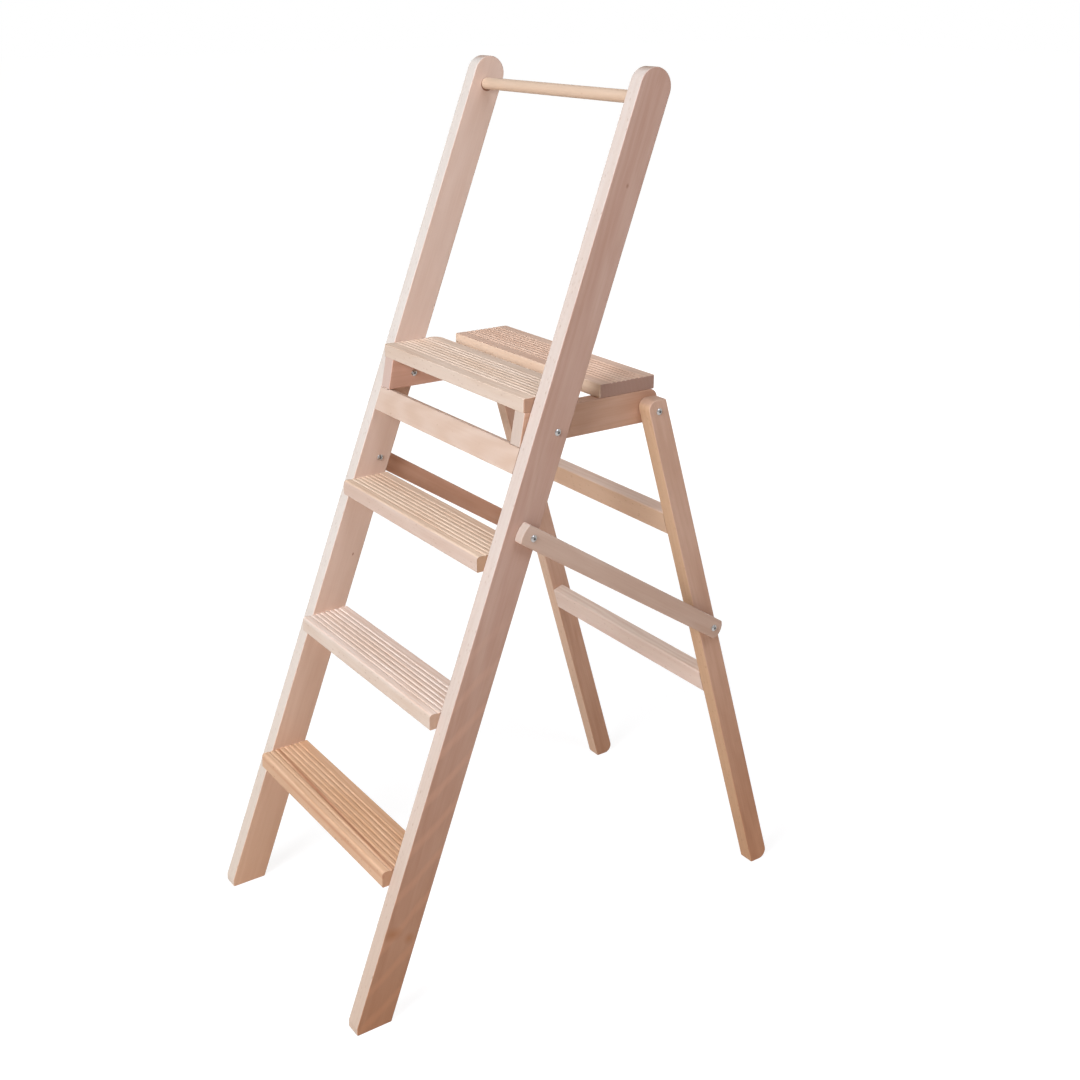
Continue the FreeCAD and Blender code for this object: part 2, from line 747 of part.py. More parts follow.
def make_fastener(name, x, y, z, stem_diameter, stem_length, bore_depth=None, inward=False):
    # turned about X: modelled with its head towards +X, then turned round where it faces inwards
    pin = new_body(name)
    pin.Placement = FreeCAD.Placement(
        FreeCAD.Vector(), FreeCAD.Rotation(ALONG_Z, 180 if inward else 0))
    bind(pin, Placement__Base__x=x, Placement__Base__y=f"({y}) - origin_y", Placement__Base__z=z)
    half = new_sketch(pin, "XY_Plane")
    draw_outline(half, [
        ("head_height", "0", dome_radius()),
        ("head_rim", "head_diameter / 2"),
        ("0", "head_diameter / 2"),
        ("0", f"{stem_diameter} / 2"),
        (f"-({stem_length})", f"{stem_diameter} / 2"),
        (f"-({stem_length})", "0"),
    ])
    turned = pin.newObject("PartDesign::Revolution", name + "_turned")
    turned.Profile = half
    turned.ReferenceAxis = (datum(pin, "X_Axis"), [""])
    turned.Angle = 360
    doc.recompute()

    socket = new_sketch(pin, "YZ_Plane", lift="head_height")
    corner = "(socket_width / sqrt(3))"
    draw_outline(socket, [
        (f"{corner} * cos({60 * side})", f"{corner} * sin({60 * side})") for side in range(6)])
    pocket(pin, socket, "socket_depth")
    if bore_depth is not None:
        bore = new_sketch(pin, "YZ_Plane", lift=f"-({stem_length})")
        draw_circle(bore, "0", "0", "screw_diameter + 2 * glue_gap")
        pocket(pin, bore, bore_depth, along=True)
    return pin


def add_pair(pin, name):
    pin.Label = name + "_one"
    pieces.append(grouped(name, [pin, mirrored(pin, pin.Label + "_twin")]))


def make_pivot(name, y, z, inner_face, outer_face):
    # a sleeve from the inner face, closed by a screw from the outer face
    stack = f"({outer_face} - ({inner_face}))"
    sleeve = make_fastener(
        name + "_sleeve", inner_face, y, z, "sleeve_diameter", f"{stack} - sleeve_setback",
        bore_depth="screw_reach + dowel_end_gap", inward=True)
    screw = make_fastener(
        name + "_screw", outer_face, y, z, "screw_diameter", "sleeve_setback + screw_reach")
    add_pair(sleeve, name + "_sleeves")
    add_pair(screw, name + "_screws")


def make_pivots():
    make_pivot("arm_pivot", "arm_pivot_y", "pivot_z", "arm_inner - head_gap", "stile_outer")
    make_pivot("leg_pivot", "leg_pivot_y", "pivot_z", "arm_inner - head_gap", "leg_outer")
    make_pivot("brace_pivot", "brace_pivot_y", "brace_pivot_z", "half_width",
               "brace_inner + brace_thickness + head_gap")

    # the brace's rear pivot is parted in the plane between the leg and the brace
    stub = make_fastener("brace_end_sleeve", "half_width", "brace_end_y", "brace_end_z",
                         "sleeve_diameter", "leg_thickness", inward=True)
    add_pair(stub, "brace_end_sleeves")
    screw = make_fastener("brace_end_screw_right", "brace_inner + brace_thickness", "brace_end_y",
                          "brace_end_z", "sleeve_diameter", "brace_thickness")
    pieces.append(screw)
    pieces.append(mirrored(screw, "brace_end_screw_left"))


# ---------------------------------------------------------------- the whole ladder

make_stile()
for number in step_numbers():
    make_step(number)
make_step_dowels()
make_front_rail()
make_hand_rod()
make_arm()
make_board("platform_front_board", "front_board_y", "board_corner_radius")
make_board("platform_rear_board", "rear_board_y", "board_small_radius")
make_board_dowels()
make_leg()
for name, rail_level in RAIL_LEVELS.items():
    make_rear_rail(name + "_rear_rail", rail_level)
make_rear_rail_dowels()
make_brace()
make_pivots()
doc.recompute()

for thing in doc.Objects:
    if "Invalid" in thing.State or "Error" in thing.State:
        raise RuntimeError(thing.Label + " has failed")
for piece in pieces:
    if piece.Shape.isNull() or not piece.Shape.isValid():
        raise RuntimeError(piece.Label + " has no valid shape")

os.makedirs("parts", exist_ok=True)
for piece in pieces:
    piece.Shape.exportStep(f"parts/{piece.Label}.step")

for name in ("arm_pivot_y", "pivot_z", "leg_pivot_y", "brace_pivot_y", "brace_pivot_z",
             "brace_end_y", "brace_end_z", "origin_y"):
    print(name, round(value(name), 4))
print(len(pieces), "pieces")
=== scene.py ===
import math
import bpy
from mathutils import Matrix, Vector


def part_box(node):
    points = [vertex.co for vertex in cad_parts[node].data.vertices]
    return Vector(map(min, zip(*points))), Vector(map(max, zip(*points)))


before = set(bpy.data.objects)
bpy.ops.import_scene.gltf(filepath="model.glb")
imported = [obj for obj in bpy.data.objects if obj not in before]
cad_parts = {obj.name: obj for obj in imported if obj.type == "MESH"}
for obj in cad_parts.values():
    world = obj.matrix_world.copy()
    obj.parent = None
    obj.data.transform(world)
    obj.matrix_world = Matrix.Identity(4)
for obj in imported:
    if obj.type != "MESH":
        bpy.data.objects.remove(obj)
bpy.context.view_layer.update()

# Folding step ladder in sanded beech. Metres; +Z is up, +Y to the rear, X across the ladder.

mm = 0.001
quarterTurn = math.radians(90)
wavePeriod = math.pi / 10      # from crest to crest in a Wave texture whose scale is 1
print("frame loaded:", len(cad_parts), "pieces")


def linear(hexColour):
    # "#rrggbb" as the linear colour that the shader works in
    channels = [int(hexColour[start:start + 2], 16) / 255 for start in (1, 3, 5)]
    return [
        channel / 12.92 if channel <= 0.04045 else ((channel + 0.055) / 1.055) ** 2.4
        for channel in channels
    ] + [1.0]


def addNode(tree, kind, inputs=None, **settings):
    # adds a node; an input's value is a number, a colour, or another node's output, which is linked.
    # Inputs go by name or by place: a Mix node's two numbers are 2 and 3, its two colours 6 and 7.
    node = tree.nodes.new("ShaderNode" + kind)
    for name, value in settings.items():
        setattr(node, name, value)
    for name, value in (inputs or {}).items():
        if isinstance(value, bpy.types.NodeSocket):
            tree.links.new(value, node.inputs[name])
        else:
            node.inputs[name].default_value = value
    return node


def newMaterial(name):
    material = bpy.data.materials.new(name)
    material.use_nodes = True
    material.node_tree.nodes.clear()
    return material, material.node_tree


def dress(nodeName, material):
    # gives a CAD piece its finish
    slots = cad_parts[nodeName].data.materials
    slots.clear()
    slots.append(material)


def centreOf(nodeName):
    low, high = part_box(nodeName)
    return (low + high) / 2


lean = math.radians(20)             # stiles, from upright
splay = math.radians(17)            # rear legs, from upright
braceSlope = math.radians(-32.5)    # falls to the rear
acrossX = Matrix.Rotation(quarterTurn, 3, "Y")    # turns a board's length from Z to X

grain = {
    "ringWander": 18,           # mm, width of the band in which a ring strays from round
    "featureSize": {            # mm across and along the grain
        "wander": (36, 200),    # the rings' bends
        "streaks": (3.2, 130),  # bundles of fibres, as coarse as shows
        "clouds": (34, 230),    # slow changes of tone
        "flecks": (3.9, 9.24),  # room for the end of one ray, as coarse as shows, which fills half of it
    },
    "featureShift": {"wander": 0, "streaks": 3, "clouds": 7, "flecks": 11},    # sets the patterns apart
    "shiftWay": (1, 0.7, 1.3),  # which way a pattern moves by its shift and its piece's seed
    "toneSpan": 0.9,            # of the patterns' sum, from the pale tone to the deep one
    "endCalm": 0.75,            # share of the tone's changes that a sawn end loses
    "edgeCalm": 0.5,            # and an edge
    "fleckRim": (0.34, 0.16),   # of its room: where a fleck starts to show, and where it is full
    "fleckDepth": 0.5,          # how much of the fleck's own colour the strongest one has
    "flatFlecks": 0.1,          # share of the flecks' strength that is left away from the edges
    "facing": (0.55, 0.85),     # how squarely a surface faces a way, from not counted to counted in full
    "footShadeHeight": 0.6,          # m, below which standing pieces are painted darker and warmer: painted shade towards the floor
    "footShadeOnEdges": 0.5,         # share of that which the edges get
    "poreDepth": 0.06,          # mm, what sanding leaves of the fibres
    "roughness": (0.54, 0.68),  # of the pale fibres and of the deep ones
}

# what a piece has unless its own dictionary says otherwise
usualWood = {
    "seed": 0,
    "rings": 0.35,
    "ringSpacing": 7,           # mm, as coarse as shows
    "streaks": 0.9,
    "clouds": 0.9,
    "flecks": 0.4,              # share of the flecks' places that hold one
    "flatTint": "#FFFFFF",
    "edgeTint": "#FFFFFF",
    "endTint": "#D2BFB0",       # sawn ends drink the light between the cut fibres
}
usualMark = {
    "turn": 0,          # degrees
    "core": 0.3,        # share of the mark's size that has its full strength
    "strength": 0.8,
}


def sandedBeech(name, ownWood, middle, turn):
    # Beech, planed and sanded and left without oil or varnish: a pale pinkish wood with faint rings,
    # fine fibre streaks, small dark dashes where rays end, and hardly any shine. Flat sides, edges
    # and sawn ends are different cuts through the same rings, so each has its own tone; each piece's
    # tints for its cuts also hold painted light and shade, set to how the light falls on each face.
    wood = {**usualWood, **ownWood}
    material, tree = newMaterial(name)
    place = addNode(tree, "TexCoord")
    # the piece's own frame in metres: Z along the grain, X and Y across
    along = addNode(tree, "Mapping", {
        "Vector": place.outputs["Object"],
        "Location": middle,
        "Rotation": turn.to_euler(),
    }, vector_type="TEXTURE")
    stretched = {}
    for feature, (across, length) in grain["featureSize"].items():
        shift = wood["seed"] + grain["featureShift"][feature]
        mapping = addNode(tree, "Mapping", {
            "Vector": along.outputs["Vector"],
            "Location": [shift * way for way in grain["shiftWay"]],
            "Scale": (1 / (across * mm), 1 / (across * mm), 1 / (length * mm)),
        }, vector_type="POINT")
        stretched[feature] = mapping.outputs["Vector"]

    # which way the surface faces in the piece's own frame: X a flat side, Y an edge, Z a sawn end
    normal = addNode(tree, "Mapping", {
        "Vector": place.outputs["Normal"],
        "Rotation": turn.to_euler(),
    }, vector_type="TEXTURE")
    outward = addNode(tree, "SeparateXYZ", {"Vector": normal.outputs["Vector"]})
    cuts = {"X": wood["flatTint"], "Y": wood["edgeTint"], "Z": wood["endTint"]}
    facing = {}
    for axis in cuts:
        size = addNode(tree, "Math", {0: outward.outputs[axis]}, operation="ABSOLUTE")
        facing[axis] = addNode(tree, "MapRange", {
            "Value": size.outputs[0],
            "From Min": grain["facing"][0],
            "From Max": grain["facing"][1],
        }).outputs[0]

    # growth rings round a heart that lies outside the piece, tilted so that they run out in long arches
    heart = addNode(tree, "Mapping", {
        "Vector": along.outputs["Vector"],
        "Location": (wood["heart"][0] * mm, wood["heart"][1] * mm, 0),
        "Rotation": (math.radians(wood["tilt"][0]), math.radians(wood["tilt"][1]), 0),
    }, vector_type="TEXTURE")
    wander = addNode(tree, "TexNoise", {
        "Vector": stretched["wander"],
        "Scale": 1.0,
        "Detail": 3.0,
        "Roughness": 0.55,
    })
    pushed = addNode(tree, "VectorMath", {
        0: wander.outputs["Color"],
        1: (0.5, 0.5, 0.5),
    }, operation="SUBTRACT")
    moved = addNode(tree, "VectorMath", {
        0: pushed.outputs["Vector"],
        1: (grain["ringWander"] * mm,) * 3,
        2: heart.outputs["Vector"],
    }, operation="MULTIPLY_ADD")
    rings = addNode(tree, "TexWave", {
        "Vector": moved.outputs["Vector"],
        "Scale": wavePeriod / (wood["ringSpacing"] * mm),
        "Distortion": 0.0,
    }, wave_type="RINGS", rings_direction="Z", wave_profile="SIN")
    streaks = addNode(tree, "TexNoise", {
        "Vector": stretched["streaks"],
        "Scale": 1.0,
        "Detail": 3.0,
        "Roughness": 0.6,
    })
    clouds = addNode(tree, "TexNoise", {
        "Vector": stretched["clouds"],
        "Scale": 1.0,
        "Detail": 2.0,
    })

    # the three patterns add up to how deep the tone is, from 0 to 1
    ringTone = addNode(tree, "Math", {0: rings.outputs["Fac"], 1: wood["rings"]}, operation="MULTIPLY")
    streakTone = addNode(tree, "Math", {
        0: streaks.outputs["Fac"],
        1: wood["streaks"],
        2: ringTone.outputs[0],
    }, operation="MULTIPLY_ADD")
    cloudTone = addNode(tree, "Math", {
        0: clouds.outputs["Fac"],
        1: wood["clouds"],
        2: streakTone.outputs[0],
    }, operation="MULTIPLY_ADD")
    average = (wood["rings"] + wood["streaks"] + wood["clouds"]) / 2
    depth = addNode(tree, "MapRange", {
        "Value": cloudTone.outputs[0],
        "From Min": average - grain["toneSpan"] / 2,
        "From Max": average + grain["toneSpan"] / 2,
    })
    # the edges are plainer than the flat sides, and a sawn end shows the rings only faintly
    edgeCalm = addNode(tree, "Math", {0: facing["Y"], 1: grain["edgeCalm"]}, operation="MULTIPLY")
    calm = addNode(tree, "Math", {
        0: facing["Z"],
        1: grain["endCalm"],
        2: edgeCalm.outputs[0],
    }, operation="MULTIPLY_ADD")
    calmDepth = addNode(tree, "Mix", {
        "Factor": calm.outputs[0],
        2: depth.outputs[0],
        3: 0.5,
    }, data_type="FLOAT")
    colour = addNode(tree, "Mix", {
        "Factor": calmDepth.outputs[0],
        6: linear(wood["pale"]),
        7: linear(wood["deep"]),
    }, data_type="RGBA").outputs[2]

    # the rays' ends: short dark dashes along the grain
    cells = addNode(tree, "TexVoronoi", {
        "Vector": stretched["flecks"],
        "Scale": 1.0,
        "Randomness": 1.0,
    })
    dash = addNode(tree, "MapRange", {
        "Value": cells.outputs["Distance"],
        "From Min": grain["fleckRim"][0],
        "From Max": grain["fleckRim"][1],
    })
    chosen = addNode(tree, "SeparateColor", {"Color": cells.outputs["Color"]})
    share = addNode(tree, "MapRange", {
        "Value": chosen.outputs[0],
        "From Min": 1 - wood["flecks"],
        "From Max": 1.0,
        "To Max": grain["fleckDepth"],
    })
    # they show on the edges and hardly elsewhere
    shown = addNode(tree, "MapRange", {
        "Value": facing["Y"],
        "To Min": grain["flatFlecks"],
        "To Max": 1.0,
    })
    fleck = addNode(tree, "Math", {0: dash.outputs[0], 1: share.outputs[0]}, operation="MULTIPLY")
    fleck = addNode(tree, "Math", {0: fleck.outputs[0], 1: shown.outputs[0]}, operation="MULTIPLY")
    colour = addNode(tree, "Mix", {
        "Factor": fleck.outputs[0],
        6: colour,
        7: linear(wood["fleck"]),
    }, data_type="RGBA").outputs[2]

    if "feather" in wood:
        # pale feathered arcs where the grain runs out across the flat side
        feather = wood["feather"]
        slant = addNode(tree, "Mapping", {
            "Vector": moved.outputs["Vector"],
            "Rotation": (math.radians(feather["slant"]), 0, 0),
        }, vector_type="POINT")
        arcs = addNode(tree, "TexWave", {
            "Vector": slant.outputs["Vector"],
            "Scale": wavePeriod / (feather["spacing"] * mm),
            "Distortion": 1.5,
            "Detail": 2.0,
            "Detail Scale": 0.6,
        }, wave_type="BANDS", bands_direction="Z", wave_profile="SIN")
        thin = addNode(tree, "MapRange", {
            "Value": arcs.outputs["Fac"],
            "From Min": feather["crest"],
            "From Max": 1.0,
            "To Max": feather["strength"],
        })
        own = addNode(tree, "SeparateXYZ", {"Vector": along.outputs["Vector"]})
        reach = addNode(tree, "MapRange", {
            "Value": own.outputs["Z"],
            "From Min": feather["top"],
            "From Max": feather["full"],
        })
        arc = addNode(tree, "Math", {0: thin.outputs[0], 1: reach.outputs[0]}, operation="MULTIPLY")
        arc = addNode(tree, "Math", {0: arc.outputs[0], 1: facing["X"]}, operation="MULTIPLY")
        colour = addNode(tree, "Mix", {
            "Factor": arc.outputs[0],
            6: colour,
            7: linear(feather["colour"]),
        }, data_type="RGBA").outputs[2]

    for ownMark in wood.get("marks", []):
        # a pin knot, a stain, a streak of darker wood or a patch of painted shade: place and half sizes
        # in mm, in the piece's own frame
        mark = {**usualMark, **ownMark}
        spot = addNode(tree, "Mapping", {
            "Vector": along.outputs["Vector"],
            "Location": [value * mm for value in mark["place"]],
            "Rotation": (math.radians(mark["turn"]), 0, 0),
            "Scale": [value * mm for value in mark["size"]],
        }, vector_type="TEXTURE")
        far = addNode(tree, "VectorMath", {0: spot.outputs["Vector"]}, operation="LENGTH")
        inside = addNode(tree, "MapRange", {
            "Value": far.outputs["Value"],
            "From Min": 1.0,
            "From Max": mark["core"],
            "To Max": mark["strength"],
        })
        colour = addNode(tree, "Mix", {
            "Factor": inside.outputs[0],
            6: colour,
            7: linear(mark["colour"]),
        }, data_type="RGBA").outputs[2]

    # each cut's tint: the wood's own tone for that cut, and partly painted light and shade for how that
    # face is lit
    for axis, tint in cuts.items():
        colour = addNode(tree, "Mix", {
            "Factor": facing[axis],
            6: colour,
            7: linear(tint),
        }, data_type="RGBA", blend_type="MULTIPLY").outputs[2]

    # painted shade: standing pieces darker and warmer towards the floor
    if "footShadeTint" in wood:
        height = addNode(tree, "SeparateXYZ", {"Vector": place.outputs["Object"]})
        low = addNode(tree, "MapRange", {
            "Value": height.outputs["Z"],
            "From Min": grain["footShadeHeight"],
            "From Max": 0.0,
        })
        # less so on the edges than on the flat sides
        side = addNode(tree, "MapRange", {
            "Value": facing["X"],
            "To Min": grain["footShadeOnEdges"],
            "To Max": 1.0,
        })
        low = addNode(tree, "Math", {0: low.outputs[0], 1: side.outputs[0]}, operation="MULTIPLY")
        colour = addNode(tree, "Mix", {
            "Factor": low.outputs[0],
            6: colour,
            7: linear(wood["footShadeTint"]),
        }, data_type="RGBA", blend_type="MULTIPLY").outputs[2]

    relief = addNode(tree, "Bump", {
        "Height": streaks.outputs["Fac"],
        "Strength": 0.35,
        "Distance": grain["poreDepth"] * mm,
    })
    dull = addNode(tree, "MapRange", {
        "Value": streaks.outputs["Fac"],
        "To Min": grain["roughness"][0],
        "To Max": grain["roughness"][1],
    })
    shader = addNode(tree, "BsdfPrincipled", {
        "Base Color": colour,
        "Roughness": dull.outputs[0],
        "Normal": relief.outputs["Normal"],
        "IOR": 1.45,
    })
    addNode(tree, "OutputMaterial", {"Surface": shader.outputs[0]})
    return material


def dressBeech(nodeName, wood, turn):
    words = nodeName.replace("_", " ")
    dress(nodeName, sandedBeech("sanded beech, " + words, wood, centreOf(nodeName), turn))


# heart: mm from the piece's middle to the tree's, across the grain; tilt: degrees between the two
stiles = {
    "stile_left": {
        "pale": "#E4D7D0", "deep": "#CFB6A8", "fleck": "#B29280", "seed": 2.0,
        "heart": (70, 15), "tilt": (0.6, 1.0),
        "rings": 0.1, "streaks": 0.35, "clouds": 0.6,
        "flatTint": "#FFF2E7", "edgeTint": "#F5FFFF", "footShadeTint": "#F6E7D4",
        "marks": [
            # painted shade: a dark ring round the rod where it enters the stile
            {"place": (12.8, 4.7, 682), "size": (3, 12.2, 12.2), "core": 0.92, "strength": 0.9,
             "colour": "#7E4F35"},
            # a pin knot
            {"place": (12.8, 17.2, -145.7), "size": (2, 1.9, 3.6), "colour": "#93583F"},
        ],
    },
    "stile_right": {
        "pale": "#D4CBC3", "deep": "#BCA595", "fleck": "#9F8169", "seed": 5.0,
        "heart": (-55, 20), "tilt": (-1.0, 2.2),
        "rings": 0.15, "streaks": 0.4, "clouds": 0.8,
        "flatTint": "#F6DACF", "footShadeTint": "#E3CAAA",
        "feather": {
            "slant": -55,       # degrees
            "spacing": 42,      # mm
            "crest": 0.72,      # how near its crest a band starts to show
            "top": -0.05,       # m from the stile's middle, where the arcs begin
            "full": -0.3,       # and where they are at full strength
            "strength": 0.55,
            "colour": "#DCC8BA",
        },
        "marks": [
            # a pin knot, then two brown stains beside each other near the foot
            {"place": (12.7, 5.8, 552.3), "size": (2, 3.0, 4.6), "strength": 0.5, "colour": "#8A5F45"},
            {"place": (12.7, -13, -584), "size": (4, 20, 13), "turn": 10, "core": 0.1, "strength": 0.85,
             "colour": "#BC9E80"},
            {"place": (12.7, 19, -590), "size": (4, 11, 11), "core": 0.1, "strength": 0.75,
             "colour": "#BC9E80"},
        ],
    },
}
for nodeName, wood in stiles.items():
    dressBeech(nodeName, wood, Matrix.Rotation(-lean, 3, "X"))

treads = {
    "step_1": {
        "pale": "#E8C4A4", "deep": "#C6956C", "fleck": "#A26F48", "seed": 8.0,
        "heart": (10, 70), "tilt": (1.5, 0.5), "rings": 0.15, "streaks": 0.6,
        "edgeTint": "#E5E5E6", "endTint": "#E0D5D3",
        "marks": [
            # two long reddish streaks of darker wood
            {"place": (-12, -19, 0), "size": (4, 4, 420), "turn": 1.6, "core": 0.2, "strength": 0.75,
             "colour": "#96502E"},
            {"place": (-5, -42, 20), "size": (4.5, 5, 420), "core": 0.1, "strength": 0.45,
             "colour": "#B86C44"},
        ],
    },
    "step_2": {
        "pale": "#EFDDD0", "deep": "#DABDA7", "fleck": "#B99277", "seed": 12.0,
        "heart": (12, 60), "tilt": (0.5, 0.4),
        "edgeTint": "#E1E4E3", "endTint": "#DACABE",
        "marks": [{"place": (-12, 7.3, -51), "size": (3, 1.2, 2.2), "colour": "#8A6148"}],
    },
    "step_3": {
        "pale": "#E9D2BA", "deep": "#D3B296", "fleck": "#AF896A", "seed": 15.0,
        "heart": (-16, 70), "tilt": (0.5, 0.8),
        "edgeTint": "#E1E3EE",
    },
    "platform_front_board": {
        "pale": "#EBD6C3", "deep": "#D5B79D", "fleck": "#B29176", "seed": 18.0,
        "heart": (20, 80), "tilt": (0.4, 0.6),
        "edgeTint": "#E3E7EB", "endTint": "#C8B0A3",
    },
    "platform_rear_board": {
        "pale": "#EED8BF", "deep": "#D5B497", "fleck": "#B28C6A", "seed": 22.0,
        "heart": (-20, 90), "tilt": (0.3, 0.6),
        "flatTint": "#F3E6E6", "edgeTint": "#FAF9FA", "endTint": "#BBAAAE",
    },
}
for nodeName, wood in treads.items():
    dressBeech(nodeName, wood, acrossX)

# a rail stands on edge: its broad sides face Y and take the edges' tint, calm and flecks
rails = {
    "front_cross_rail": {
        "pale": "#E3D2C5", "deep": "#CDB19B", "fleck": "#B09175", "seed": 25.0,
        "heart": (4, 40), "tilt": (6.0, 1.0), "lean": -lean,
        "rings": 0.5, "ringSpacing": 9, "streaks": 0.6, "flecks": 0.08,
        # painted light: the broad sides are tinted darker than the top, so the top in the platform's
        # shade shows lighter
        "edgeTint": "#E9E3DE",
    },
    "upper_rear_rail": {
        "pale": "#EAD8CA", "deep": "#D1B49D", "fleck": "#AA8967", "seed": 28.0,
        "heart": (0, 60), "tilt": (0.8, 0.5), "lean": splay,
        "rings": 0.2, "streaks": 0.3,
        "edgeTint": "#ECDECD",
    },
    "lower_rear_rail": {
        "pale": "#E9D7C8", "deep": "#D4B8A6", "fleck": "#B0927B", "seed": 31.0,
        "heart": (0, -60), "tilt": (0.8, 0.5), "lean": splay,
        "streaks": 0.5,
        "flatTint": "#FFFFFD", "edgeTint": "#FDFDFF",
    },
    "hand_rod": {
        "pale": "#D1BAA5", "deep": "#C2A386", "fleck": "#AA8666", "seed": 34.0,
        "heart": (0, 60), "tilt": (0.2, 0.2), "lean": -lean,
        "rings": 0.2, "flecks": 0.05,
    },
}
for nodeName, wood in rails.items():
    dressBeech(nodeName, wood, Matrix.Rotation(wood["lean"], 3, "X") @ acrossX)

arms = {
    "arm_left": {
        "pale": "#DBB6AC", "deep": "#C39888", "fleck": "#A07460", "seed": 37.0,
        "heart": (60, 10), "tilt": (0.6, 1.4), "rings": 0.2, "streaks": 0.6,
        "flatTint": "#FFF8E8", "edgeTint": "#FFF8E8", "endTint": "#ECFFFF",
    },
    "arm_right": {
        "pale": "#D2BCB2", "deep": "#B89B88", "fleck": "#96745A", "seed": 40.0,
        "heart": (-60, 10), "tilt": (0.6, 1.2), "rings": 0.2, "streaks": 0.6,
        "flatTint": "#FFE8D4", "edgeTint": "#FFE8D4", "endTint": "#F6FFFF",
        "marks": [
            # painted shade on the arm's outer side, next to the leg's head
            {"place": (12.5, -8, 118), "size": (9, 60, 75), "core": 0.1, "strength": 0.4,
             "colour": "#A87A5C"},
        ],
    },
}
for nodeName, wood in arms.items():
    dressBeech(nodeName, wood, Matrix.Rotation(-quarterTurn, 3, "X"))

legs = {
    "leg_left": {
        "pale": "#E9D2BC", "deep": "#CDAB90", "fleck": "#A78566", "seed": 43.0,
        "heart": (55, 10), "tilt": (0.8, 1.0), "rings": 0.2, "streaks": 0.6,
        "flatTint": "#EEDFDD", "edgeTint": "#FCF8F6", "endTint": "#E3E1DB", "footShadeTint": "#E7D6C5",
    },
    "leg_right": {
        "pale": "#DAB7A2", "deep": "#C0977E", "fleck": "#9C7155", "seed": 46.0,
        "heart": (-55, 10), "tilt": (0.8, 1.2), "rings": 0.2, "streaks": 0.6,
        "edgeTint": "#F2F3E1", "endTint": "#E3E1DB", "footShadeTint": "#E9CEB3",
    },
}
for nodeName, wood in legs.items():
    dressBeech(nodeName, wood, Matrix.Rotation(splay, 3, "X"))

braces = {
    "brace_left": {
        "pale": "#D9B3A4", "deep": "#C49885", "fleck": "#A37562", "seed": 49.0,
        "heart": (50, 8), "tilt": (0.6, 0.8), "rings": 0.2, "streaks": 0.6,
        "flatTint": "#FFF8E8", "edgeTint": "#FFF8E8", "endTint": "#E7EBE1",
    },
    "brace_right": {
        "pale": "#D8C5C0", "deep": "#C2A59A", "fleck": "#A17F70", "seed": 52.0,
        "heart": (-50, 8), "tilt": (0.6, 0.8), "rings": 0.2, "streaks": 0.6,
        "flatTint": "#FFF8E8", "edgeTint": "#FFF8E8", "endTint": "#E7EBE1",
    },
}
for nodeName, wood in braces.items():
    dressBeech(nodeName, wood, Matrix.Rotation(braceSlope - quarterTurn, 3, "X"))

dowels = {"pale": "#E0C6AE", "deep": "#CDAE92", "fleck": "#A88268", "heart": (0, 40), "tilt": (0, 0)}
for nodeName in ("step_dowels", "front_rail_dowels", "board_dowels", "rear_rail_dowels"):
    dressBeech(nodeName, dowels, acrossX)
print("beech dressed")

steel = {
    "colour": "#B4B1AE",
    "socketColour": "#6E6F72",     # little light reaches the bottom of the hexagon socket
    "socketReach": (1.5, 1.9),     # mm from the axis: dark within the first, bright beyond the second
    "roughness": (0.2, 0.38),      # of the plating's bright patches and of its dull ones
    "cloudSize": 3,                # mm, those patches
    "turningPitch": 0.35,          # mm between the marks of the lathe, as coarse as shows close up
    "markDepth": 0.01,             # mm
    "bodies": ("arm_pivot_sleeves", "arm_pivot_screws", "leg_pivot_sleeves", "leg_pivot_screws",
               "brace_pivot_sleeves", "brace_pivot_screws", "brace_end_sleeves",
               "brace_end_screw_left", "brace_end_screw_right"),
}


def zincPlatedSteel(name, middle):
    # Steel, turned and bright zinc plated: grey, glossy, with faint rings from the lathe and patches
    # that are a little duller.
    material, tree = newMaterial(name)
    place = addNode(tree, "TexCoord")
    centred = addNode(tree, "Mapping", {
        "Vector": place.outputs["Object"],
        "Location": middle,
    }, vector_type="TEXTURE")
    marks = addNode(tree, "TexWave", {
        "Vector": centred.outputs["Vector"],
        "Scale": wavePeriod / (steel["turningPitch"] * mm),
    }, wave_type="RINGS", rings_direction="X")
    clouds = addNode(tree, "TexNoise", {
        "Vector": centred.outputs["Vector"],
        "Scale": 1 / (steel["cloudSize"] * mm),
        "Detail": 2.0,
    })
    sheen = addNode(tree, "MapRange", {
        "Value": clouds.outputs["Fac"],
        "To Min": steel["roughness"][0],
        "To Max": steel["roughness"][1],
    })
    # distance from the turning axis, which lies along X
    crossways = addNode(tree, "VectorMath", {
        0: centred.outputs["Vector"],
        1: (0, 1, 1),
    }, operation="MULTIPLY")
    radius = addNode(tree, "VectorMath", {0: crossways.outputs["Vector"]}, operation="LENGTH")
    socket = addNode(tree, "MapRange", {
        "Value": radius.outputs["Value"],
        "From Min": steel["socketReach"][1] * mm,
        "From Max": steel["socketReach"][0] * mm,
    })
    colour = addNode(tree, "Mix", {
        "Factor": socket.outputs[0],
        6: linear(steel["colour"]),
        7: linear(steel["socketColour"]),
    }, data_type="RGBA")
    relief = addNode(tree, "Bump", {
        "Height": marks.outputs["Fac"],
        "Strength": 0.3,
        "Distance": steel["markDepth"] * mm,
    })
    shader = addNode(tree, "BsdfPrincipled", {
        "Base Color": colour.outputs[2],
        "Metallic": 1.0,
        "Roughness": sheen.outputs[0],
        "Normal": relief.outputs["Normal"],
    })
    addNode(tree, "OutputMaterial", {"Surface": shader.outputs[0]})
    return material


for nodeName in steel["bodies"]:
    words = nodeName.replace("_", " ")
    dress(nodeName, zincPlatedSteel("bright zinc-plated steel, " + words, centreOf(nodeName)))
print("fasteners dressed")

